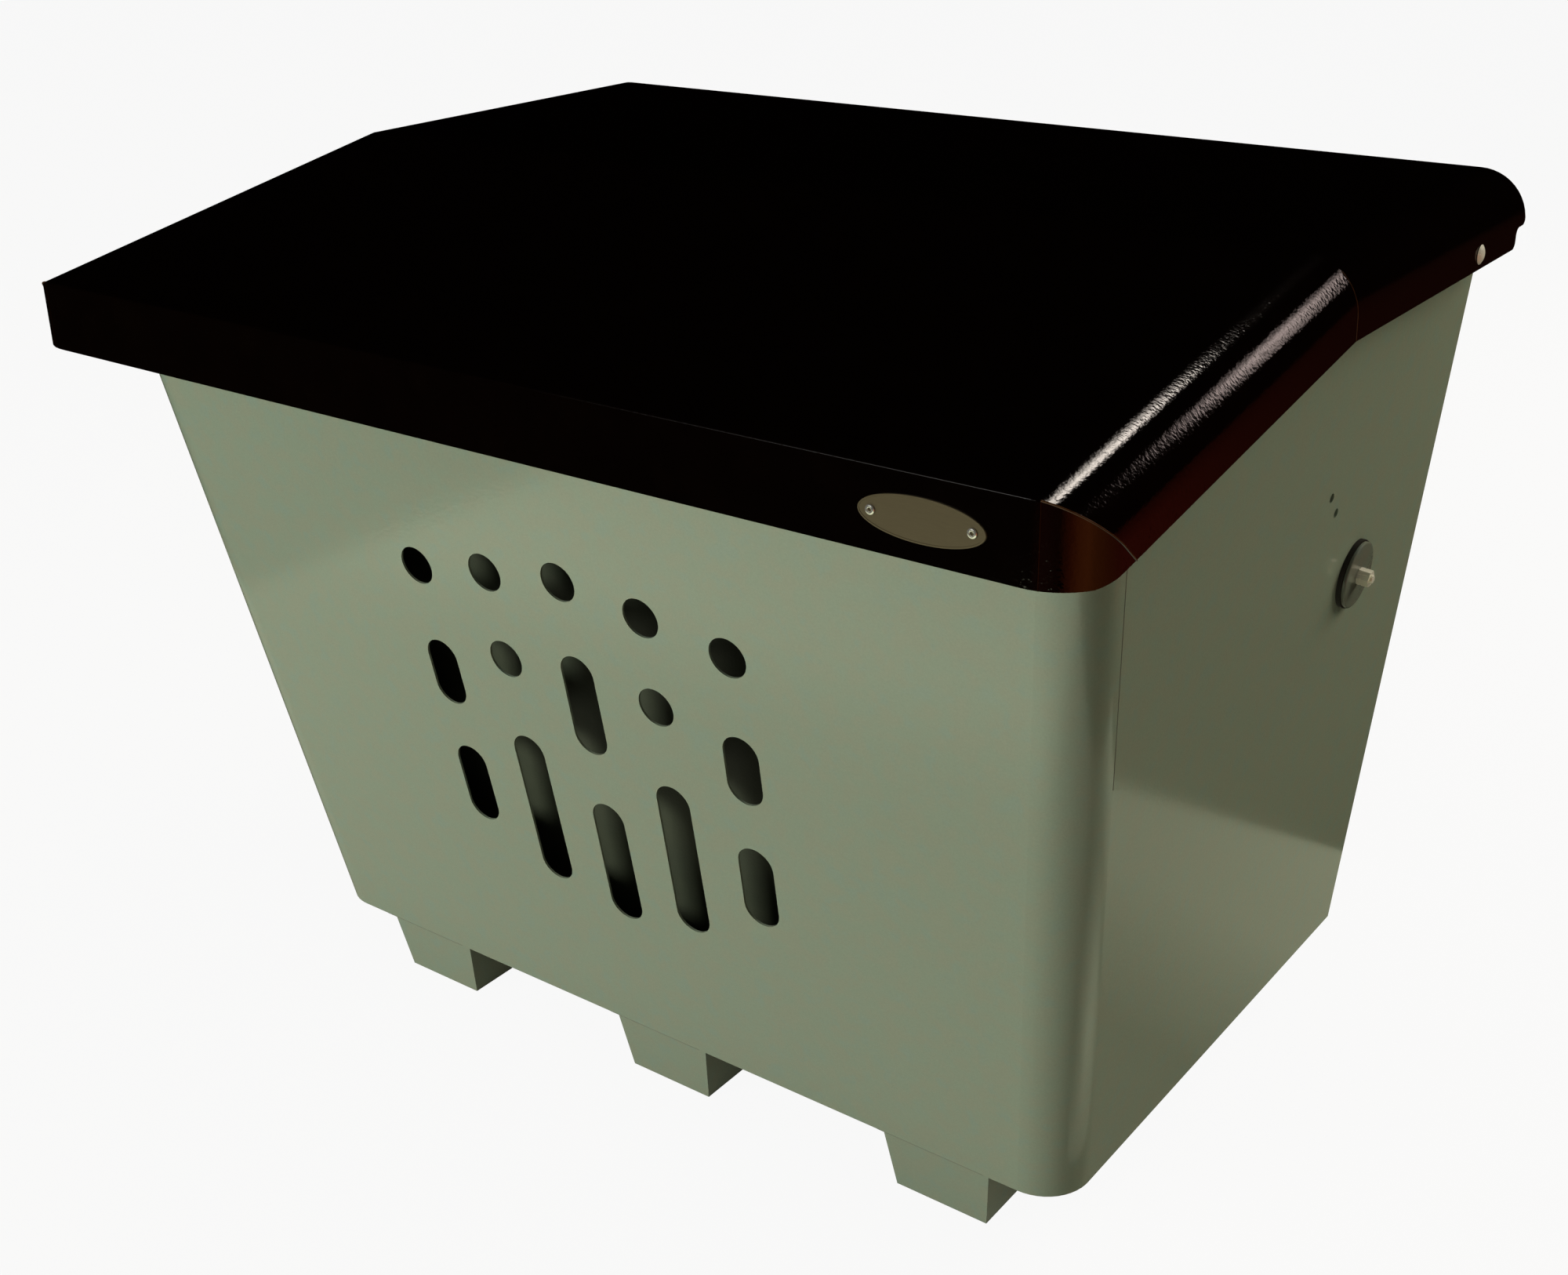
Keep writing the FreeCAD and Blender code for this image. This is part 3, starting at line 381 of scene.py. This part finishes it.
def finished(name, build, body, material, sharp=35):
    """Piece that rides on a body: smooth, but for edges sharper than an angle in degrees."""
    piece = piece_of(name, build, material)
    piece.data.shade_smooth()
    piece.data.set_sharp_from_angle(angle=math.radians(sharp))
    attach(piece, body)
    return piece


def make_plate():
    """Blank oval plate with a raised, rounded rim round a slightly sunk field."""
    rim_width, step_width, step_depth, rounding = 1.1, 0.3, 0.3, 0.35
    low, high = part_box("name_plate")
    middle = (low + high) / 2
    half_length, half_height = (high.x - low.x) / 2, (high.z - low.z) / 2
    thickness = high.y - low.y
    build = bmesh.new()
    bmesh.ops.create_circle(build, cap_ends=True, segments=128, radius=1.0)
    bmesh.ops.scale(build, vec=(half_length, half_height, 1), verts=build.verts)
    raised = bmesh.ops.extrude_face_region(build, geom=build.faces[:])["geom"]
    bmesh.ops.translate(build, vec=(0, 0, thickness), verts=of_kind(raised, bmesh.types.BMVert))
    field = of_kind(raised, bmesh.types.BMFace)
    outline = [edge for face in field for edge in face.edges]
    bmesh.ops.inset_region(build, faces=field, thickness=rim_width * MM, depth=0)
    bmesh.ops.inset_region(build, faces=field, thickness=step_width * MM, depth=-step_depth * MM)
    bmesh.ops.bevel(build, geom=outline, offset=rounding * MM, offset_type="OFFSET", segments=3,
                    profile=0.5, affect="EDGES", material=-1)
    foot = Vector((middle.x, high.y, middle.z))
    put_at(build, [Matrix.Translation(foot) @ Matrix.Rotation(math.pi / 2, 4, "X")])
    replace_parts(finished("oval_plate", build, "lid", plate_metal), "name_plate")


def make_plate_rivets():
    """Blind rivets: low domes with the drawn pin's hole in the middle."""
    head_radius, head_height = 3.5, 1.0
    profile = [
        (0, -3.2), (2.0, -3.2), (2.0, 0), (head_radius, 0), (head_radius, 0.2), (3.38, 0.5),
        (3.05, 0.78), (2.5, 0.95), (1.9, head_height), (1.5, 0.9), (1.28, 0.6), (1.2, -0.5),
        (0.9, -0.8), (0, -0.7)]
    low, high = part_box("name_plate_rivets")
    face_y, middle_z = low.y + head_height * MM, (low.z + high.z) / 2
    places = [Matrix.Translation((x, face_y, middle_z)) @ Matrix.Rotation(math.pi / 2, 4, "X")
              for x in (low.x + head_radius * MM, high.x - head_radius * MM)]
    build = turned(profile, closed=False, steps=48)
    put_at(build, places)
    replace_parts(finished("plate_blind_rivets", build, "lid", rivet_metal),
                "name_plate_rivets")


# The anchors stand square to the side walls, which lean outwards. Heights start at the wall.
wall_lean = math.radians(5.45)
side_out = Vector((math.cos(wall_lean), 0, -math.sin(wall_lean)))
anchor_foot = Vector((461.75, 187.9, 493.7)) * MM
anchor_turn = Vector((0, 0, 1)).rotation_difference(side_out).to_matrix().to_4x4()
anchor_place = Matrix.Translation(anchor_foot) @ anchor_turn
anchor_places = [anchor_place, MIRROR_X @ anchor_place]


def make_studs():
    """Ball studs with a hexagon collar inside and a threaded, chamfered end outside."""
    ball_radius, ball_height, ball_steps = 8.0, -48.0, 18
    ball_bottom, ball_sweep = -90, 145.8
    collar_radius, collar_thickness, collar_height, collar_turn = 9.8, 6, -33, 30
    profile = [(0, ball_height - ball_radius)]
    for i in range(1, ball_steps + 1):
        turn = math.radians(ball_bottom + ball_sweep * i / ball_steps)
        profile.append((ball_radius * math.cos(turn), ball_height + ball_radius * math.sin(turn)))
    profile += [
        (4.5, -36), (4, -36), (4, 17.5), (3.4, 18.0), (3.98, 18.5), (3.4, 19.0), (3.5, 19.2),
        (3.2, 19.5), (0, 19.5)]
    build = turned(profile, closed=False, steps=40)
    collar = bmesh.ops.create_cone(
        build, cap_ends=True, segments=6, radius1=collar_radius * MM, radius2=collar_radius * MM,
        depth=collar_thickness * MM)["verts"]
    bmesh.ops.rotate(build, verts=collar, cent=(0, 0, 0),
                     matrix=Matrix.Rotation(math.radians(collar_turn), 3, "Z"))
    bmesh.ops.translate(build, vec=(0, 0, collar_height * MM), verts=collar)
    put_at(build, anchor_places)
    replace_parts(finished("threaded_studs", build, "bin", zinc), "anchor_ball_studs")


def make_cover_discs():
    """Painted discs with a rounded edge over the rubber discs."""
    bore, bottom, top, radius = 4.05, 4.0, 7.0, 29.0
    profile = [
        (bore, bottom), (28.6, bottom), (radius, 4.4), (radius, 5.9), (28.7, 6.5), (28.1, 6.9),
        (27.2, top), (bore, top)]
    build = turned(profile, closed=True, steps=96)
    put_at(build, anchor_places)
    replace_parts(finished("cover_discs", build, "bin", disc_paint),
                "anchor_cover_discs")


def seam(name, route, radius, body, material, places):
    """Thin rounded bead along a route of points, at each of the places."""
    line = bpy.data.curves.new(name, "CURVE")
    line.dimensions = "3D"
    line.bevel_depth = radius * MM
    line.bevel_resolution = 3
    line.use_fill_caps = True
    spline = line.splines.new("POLY")
    spline.points.add(len(route) - 1)
    for point, spot in zip(spline.points, route):
        point.co = (*(Vector(spot) * MM), 1)
    holder = bpy.data.objects.new(name, line)
    scene.collection.objects.link(holder)
    drawn = holder.evaluated_get(bpy.context.evaluated_depsgraph_get())
    build = bmesh.new()
    build.from_mesh(bpy.data.meshes.new_from_object(drawn))
    bpy.data.objects.remove(holder)
    bmesh.ops.remove_doubles(build, verts=build.verts, dist=SAME_POINT)
    put_at(build, places)
    finished(name, build, body, material, sharp=60)


CREASE_RADIUS, PANEL_LINE_RADIUS, LINE_RADIUS = 0.7, 0.4, 0.35

# Sizes of the lid: its slope and ridge, the bend along each side, and the upright front corners
lid_slope = math.radians(10.2)
ridge_y, ridge_z = 7.9, 799.0
bend, bend_middle, lid_side = 42.0, 468.0, 510.0
corner_x, corner_y, corner_radius = 466.0, -329.9, 44.0


def corner_crease(angle):
    """Point where the upright corner meets the lid's side bend, at an angle round the corner."""
    x = corner_x + corner_radius * math.sin(angle)
    y = corner_y - corner_radius * math.cos(angle)
    top = ridge_z - (ridge_y - y) * math.tan(lid_slope)
    across = min(max(0.0, x - bend_middle), bend)
    drop = (bend - math.sqrt(bend ** 2 - across ** 2)) / math.cos(lid_slope)
    return x, y, top - drop


def make_lid_seams():
    """Seams of the lid: round each corner piece, beside the band and at the ends of the ridge;
    the corner and ridge seams are lighter brown, as painted sheen.
    """
    into_corner, crease_steps, crease_end = 11, 30, (lid_side, -312.4, 680.4)
    first = math.asin(into_corner / corner_radius)
    crease = [corner_crease(first + (math.pi / 2 - first) * i / crease_steps)
              for i in range(crease_steps + 1)]
    seam("lid_corner_seams", crease + [crease_end], CREASE_RADIUS, "lid",
         seam_sheen_paint, BOTH_SIDES)

    band_low = 673.3
    joint_x, joint_y, _ = crease[0]
    seam("lid_band_seams", [(joint_x, joint_y, band_low), crease[0]], LINE_RADIUS, "lid",
         brown_paint, BOTH_SIDES)

    seam_start, seam_sweep, ridge_steps, ridge_end = 42, 48, 15, 60
    across = []
    for i in range(ridge_steps + 1):
        angle = math.radians(seam_start + seam_sweep * i / ridge_steps)
        across.append((bend_middle + bend * math.sin(angle),
                       ridge_z - bend + bend * math.cos(angle)))
    across.append((lid_side, ridge_z - ridge_end))
    ridge = [(x, ridge_y + (ridge_z - z) * math.tan(lid_slope / 2), z) for x, z in across]
    seam("lid_ridge_seams", ridge, LINE_RADIUS, "lid", seam_sheen_paint, BOTH_SIDES)


def make_panel_joints():
    """Upper part of the joints between the front sheet and the side sheets, drawn as beads of
    darker paint: painted shade in the joint.
    """
    front_lean = math.radians(10.5)
    foot_x, foot_y, foot_z = 421.04, -191.43, 67
    bend_reach, sunk, low_z, high_z = 42.72, 0.15, 470.0, 725.0
    ends = []
    for z in (low_z, high_z):
        x = foot_x + math.tan(wall_lean) * (z - foot_z)
        y = foot_y - math.tan(front_lean) * (z - foot_z) + bend_reach
        ends.append(Vector((x, y, z)) - side_out * sunk)
    seam("panel_joints", ends, PANEL_LINE_RADIUS, "bin", joint_shade_paint, BOTH_SIDES)


def make_skid_joints():
    """Painted-over joints between the front sheet's lower edge and the skids, drawn as dark
    beads: a painted shadow under the sheet's edge.
    """
    half_skid, spacing, joint_y, joint_z = 52.0, 296.04, -191.2, 67.1
    route = [(-half_skid, joint_y, joint_z), (half_skid, joint_y, joint_z)]
    skids = [Matrix.Translation((side * spacing * MM, 0, 0)) for side in (-1, 0, 1)]
    seam("skid_joints", route, LINE_RADIUS, "bin", joint_shade_paint, skids)


make_plate()
make_plate_rivets()
make_studs()
make_cover_discs()
make_lid_seams()
make_panel_joints()
make_skid_joints()


# Studio: what the object stands on, and what it reflects

FAR = 9.0
ROOM_TOP = 12.0
GLOSS_FLOOR = 0.001
SHEET_COLOR = (0.92, 0.96, 0.68)
KEY_AZIMUTH, KEY_COLOR = -156, (1.0, 1.0, 0.96)


def stage_mesh(name, corners, faces, material):
    """Stage piece from its corners, with faces that list them by number."""
    build = bmesh.new()
    points = [build.verts.new(corner) for corner in corners]
    for face in faces:
        build.faces.new([points[i] for i in face])
    piece = piece_of(name, build, material)
    return piece


def only_in_reflections(piece):
    piece.visible_camera = False
    piece.visible_diffuse = False
    piece.visible_transmission = False
    piece.visible_volume_scatter = False
    piece.visible_shadow = False


def new_glow(name, color):
    """Material that only glows, with its emission node."""
    material, tree, shader = new_material(name)
    tree.nodes.remove(shader)
    glow = place(tree, "ShaderNodeEmission")
    glow.inputs["Color"].default_value = (*color, 1)
    tree.links.new(glow.outputs["Emission"], tree.nodes["Material Output"].inputs["Surface"])
    return material, tree, glow


def room_glow(name, stops, bright_below, dark_above, least):
    """Glow that changes colour by azimuth, from +Y towards +X, and fades with height."""
    material, tree, glow = new_glow(name, (1, 1, 1))
    coords = object_coords(tree)
    round_about = place(tree, "ShaderNodeTexGradient", gradient_type="RADIAL")
    tree.links.new(coords, round_about.inputs["Vector"])
    color = color_ramp(tree, round_about.outputs["Fac"],
                       [((90 - azimuth) / 360 + 0.5, color) for azimuth, color in stops])
    height = mapped(tree, axes_of(tree, coords)["Z"], bright_below, dark_above, 1.0, least)
    tree.links.new(color, glow.inputs["Color"])
    tree.links.new(height, glow.inputs["Strength"])
    return material


def sheet_glow(name, color, stops, near_y, far_y, right):
    """Glow of the pale sheet, with its light and shade painted in: (y, brightness) stops, and
    (start, end, gain) of a brightening at its right edge.
    """
    material, tree, glow = new_glow(name, color)
    axes = axes_of(tree, object_coords(tree))
    lights = [((y - near_y) / (far_y - near_y), (light, light, light)) for y, light in stops]
    light = color_ramp(tree, mapped(tree, axes["Y"], near_y, far_y), lights)
    start, end, gain = right
    edge = mapped(tree, axes["X"], start, end, 0.0, gain, smooth=True)
    tree.links.new(calculate(tree, "ADD", light, edge), glow.inputs["Strength"])
    return material


def window_glow(name, color, strength):
    """Glow that follows the brightness painted on a window's corners, steeper at its peak."""
    material, tree, glow = new_glow(name, color)
    peak = 1.8
    painted = place(tree, "ShaderNodeAttribute", attribute_name="brightness")
    peaked = calculate(tree, "POWER", painted.outputs["Fac"], peak)
    tree.links.new(calculate(tree, "MULTIPLY", peaked, strength), glow.inputs["Strength"])
    return material


def direction(azimuth, elevation):
    """Unit vector: azimuth from +Y towards +X, in degrees."""
    a, e = math.radians(azimuth), math.radians(elevation)
    return Vector((math.sin(a) * math.cos(e), math.cos(a) * math.cos(e), math.sin(e)))


def glow_patch(name, spots, color, strength):
    """Bright patch seen only in gloss: a middle and a rim of (corner, brightness)."""
    count = len(spots) - 1
    fan = [(0, 1 + i, 1 + (i + 1) % count) for i in range(count)]
    piece = stage_mesh(name, [corner for corner, _ in spots], fan,
                       window_glow(name, color, strength))
    painted = piece.data.attributes.new("brightness", "FLOAT", "POINT")
    painted.data.foreach_set("value", [light for _, light in spots])
    only_in_reflections(piece)


def window(name, spots, color, strength):
    """Glow patch far away: a middle and a rim of (azimuth, elevation, brightness)."""
    seen_from, distance = Vector((0.47, -0.15, 0.75)), 8.0
    corners = [(seen_from + direction(a, e) * distance, light) for a, e, light in spots]
    glow_patch(name, corners, color, strength)


def oval_spots(azimuth, elevation, half_width, half_height, steps=12):
    """Window shape that is bright in the middle and fades to an oval rim."""
    spots = [(azimuth, elevation, 1.0)]
    for i in range(steps):
        turn = math.radians(360 / steps * i)
        spots.append((azimuth + half_width * math.cos(turn),
                      elevation + half_height * math.sin(turn), 0.0))
    return spots


def floor_material():
    """Pale floor: white for the camera, with a soft shadow."""
    material, tree, shader = new_material("pale floor")
    shader.inputs["Base Color"].default_value = (0.40, 0.375, 0.31, 1)
    shader.inputs["Roughness"].default_value = 0.8
    white_share = 0.93
    rays = place(tree, "ShaderNodeLightPath").outputs
    share = calculate(tree, "MULTIPLY", rays["Is Camera Ray"], white_share)
    glow = place(tree, "ShaderNodeEmission").outputs["Emission"]
    tree.links.new(mixed_shaders(tree, share, shader.outputs["BSDF"], glow),
                   tree.nodes["Material Output"].inputs["Surface"])
    return material


stage_mesh("floor", [(-FAR, -FAR, 0), (FAR, -FAR, 0), (FAR, FAR, 0), (-FAR, FAR, 0)],
           [(0, 1, 2, 3)], floor_material())

# In reflections the floor is a pale sheet that ends, and past it the room is dark or brown.
dark_room = new_glow("dark room", (0.002, 0.0015, 0.001))[0]
brown_room = room_glow("brown room", [
    (178, (0.004, 0.003, 0.002)), (165, (0.07, 0.011, 0.008)), (150, (0.05, 0.009, 0.005)),
    (144, (0.05, 0.010, 0.004)), (130, (0.30, 0.050, 0.012)), (121, (0.50, 0.105, 0.022)),
    (109, (0.60, 0.140, 0.030)), (99, (0.41, 0.095, 0.018)), (80, (0.26, 0.050, 0.012)),
    (60, (0.15, 0.020, 0.008)), (44, (0.11, 0.012, 0.006)), (38, (0.060, 0.008, 0.004)),
    (30, (0.027, 0.005, 0.003)), (15, (0.006, 0.003, 0.002)), (5, (0.001, 0.0008, 0.0006))],
    bright_below=0.0, dark_above=0.7, least=0.04)
# The sheet's brightness is painted light and shade: brightest at the front near the key, a
# painted shadow of the bin beside and behind it, and brighter towards the right edge.
pale_sheet = sheet_glow("pale sheet", SHEET_COLOR, [
    (-0.82, 1.0), (-0.74, 1.0), (-0.62, 0.50), (-0.55, 0.42), (-0.25, 0.42), (-0.10, 0.12),
    (0.12, 0.10), (0.35, 0.36), (0.60, 0.40)], near_y=-1.0, far_y=1.0, right=(0.65, 1.0, 0.2))

# Corners on the floor in gloss, as (x, y): the sheet, and the strip of brown beside it
sheet_left, sheet_back = (-2.68, 1.63), (1.0, 0.386)
sheet_right, sheet_front = (1.0, -1.75), (-0.1, -1.75)
strip_front, strip_back, brown_edge = (1.45, -1.75), (1.45, 0.386), 1.18
brown_start, brown_turn = (0.1, -FAR), (brown_edge, sheet_back[1])
for name, area, material in (
        ("sheet_in_gloss", [sheet_left, sheet_front, sheet_right, sheet_back], pale_sheet),
        ("room_floor_left",
         [sheet_front, sheet_left, (-FAR, FAR), (-FAR, -FAR), brown_start], dark_room),
        ("room_floor_back",
         [sheet_left, sheet_back, sheet_right, strip_front, strip_back, brown_turn,
          (brown_edge, FAR), (-FAR, FAR)], dark_room),
        ("room_floor_right",
         [sheet_front, brown_start, (FAR, -FAR), (FAR, FAR), (brown_edge, FAR), brown_turn,
          strip_back, strip_front, sheet_right], brown_room)):
    corners = [(x, y, GLOSS_FLOOR) for x, y in area]
    only_in_reflections(stage_mesh(name, corners, [range(len(area))], material))

room = [(-FAR, FAR), (FAR, FAR), (FAR, -FAR), (-FAR, -FAR)]
only_in_reflections(stage_mesh(
    "room_walls", [(x, y, z) for z in (GLOSS_FLOOR, ROOM_TOP) for x, y in room],
    [(0, 1, 5, 4), (1, 2, 6, 5), (2, 3, 7, 6), (3, 0, 4, 7), (4, 5, 6, 7)], brown_room))

window("rear_window", [
    (-3.5, 50, 1.0), (3, 54, 0.6), (5, 50.5, 0.1), (3.5, 47.6, 0.3), (-2, 47.3, 0.7),
    (-8, 46.6, 0.3), (-13, 45.2, 0.1), (-18, 44.2, 0.05), (-19, 46, 0.0), (-18, 50, 0.0),
    (-14, 54, 0.1), (-9, 56, 0.5), (-2, 56, 0.8)], color=(1.0, 0.90, 0.80), strength=14.5)
window("side_window", [
    (30, 30, 1.0), (33, 37, 0.0), (27.5, 38.5, 0.2), (23, 35.2, 0.15), (19, 32, 0.2),
    (24.5, 28.5, 0.3), (29.6, 25.4, 0.5), (30.8, 20.5, 0.5), (33.3, 19.5, 0.4), (34.6, 24, 0.35),
    (35.5, 29, 0.1), (35, 33, 0.0)], color=(1.0, 0.80, 0.74), strength=6.0)
window("front_window", [
    (-132, 35, 1.0), (-144, 30, 0.7), (-144, 42, 0.7), (-127, 42, 0.3), (-127, 30, 0.3)],
    color=(1.0, 0.88, 0.82), strength=0.18)
window("key_glow", oval_spots(azimuth=KEY_AZIMUTH, elevation=9, half_width=22, half_height=16),
       color=KEY_COLOR, strength=3.0)

# Light that the side sheet throws back on the floor beside it
glow_patch("floor_glow", [((x, y, 2 * GLOSS_FLOOR), light) for x, y, light in (
    (0.61, -0.05, 1.0), (0.49, -0.17, 0.75), (0.60, -0.20, 0.5), (0.74, -0.18, 0.5),
    (0.84, -0.05, 0.5), (0.84, 0.12, 0.5), (0.70, 0.19, 0.55), (0.58, 0.10, 0.5),
    (0.50, -0.04, 0.5))], color=SHEET_COLOR, strength=0.95)


def area_light(name, azimuth, elevation, size, power, color):
    """Soft lamp turned towards the object, and left out of the gloss. Size is (width, height)."""
    aim, distance = Vector((0, 0, 0.4)), 3.6
    lamp = bpy.data.lights.new(name, "AREA")
    lamp.shape = "RECTANGLE"
    lamp.size, lamp.size_y = size
    lamp.energy = power
    lamp.color = color
    holder = bpy.data.objects.new(name, lamp)
    away = direction(azimuth, elevation)
    holder.location = aim + away * distance
    holder.rotation_euler = (-away).to_track_quat("-Z", "Y").to_euler()
    holder.visible_camera = False
    holder.visible_glossy = False
    scene.collection.objects.link(holder)


area_light("key", azimuth=KEY_AZIMUTH, elevation=8, size=(1.6, 1.3), power=106, color=KEY_COLOR)
area_light("fill", azimuth=36, elevation=28, size=(2.4, 1.6), power=108, color=(1.0, 0.90, 0.78))

# World: white for the camera, gloss and glass, and a dim warm light for everything else
world = bpy.data.worlds.new("studio")
scene.world = world
world.use_nodes = True
world.cycles.sampling_method = "NONE"
tree = world.node_tree
dim = tree.nodes["Background"]
white = place(tree, "ShaderNodeBackground")
for background, color, strength in ((dim, (1.0, 0.94, 0.84), 0.20), (white, (1, 1, 1), 1.0)):
    background.inputs["Color"].default_value = (*color, 1)
    background.inputs["Strength"].default_value = strength
rays = place(tree, "ShaderNodeLightPath").outputs
seen = calculate(tree, "MAXIMUM", rays["Is Camera Ray"], rays["Is Glossy Ray"])
seen = calculate(tree, "MAXIMUM", seen, rays["Is Transmission Ray"])
tree.links.new(mixed_shaders(tree, seen, dim.outputs[0], white.outputs[0]),
               tree.nodes["World Output"].inputs["Surface"])

# Camera at the photograph's place: right, up and backward directions of its frame
camera_data = bpy.data.cameras.new("camera")
camera_data.lens = 45.413
camera_data.sensor_width = 36.0
camera = bpy.data.objects.new("camera", camera_data)
camera.matrix_world = Matrix.Translation((0.99935, -1.31510, 1.12032)) @ Matrix((
    (0.80350925, 0.59508768, -0.01560569),
    (-0.23001831, 0.33454485, 0.91387708),
    (0.54905780, -0.73071909, 0.40569094),
)).transposed().to_4x4()
scene.collection.objects.link(camera)
scene.camera = camera

scene.view_settings.view_transform = "Standard"
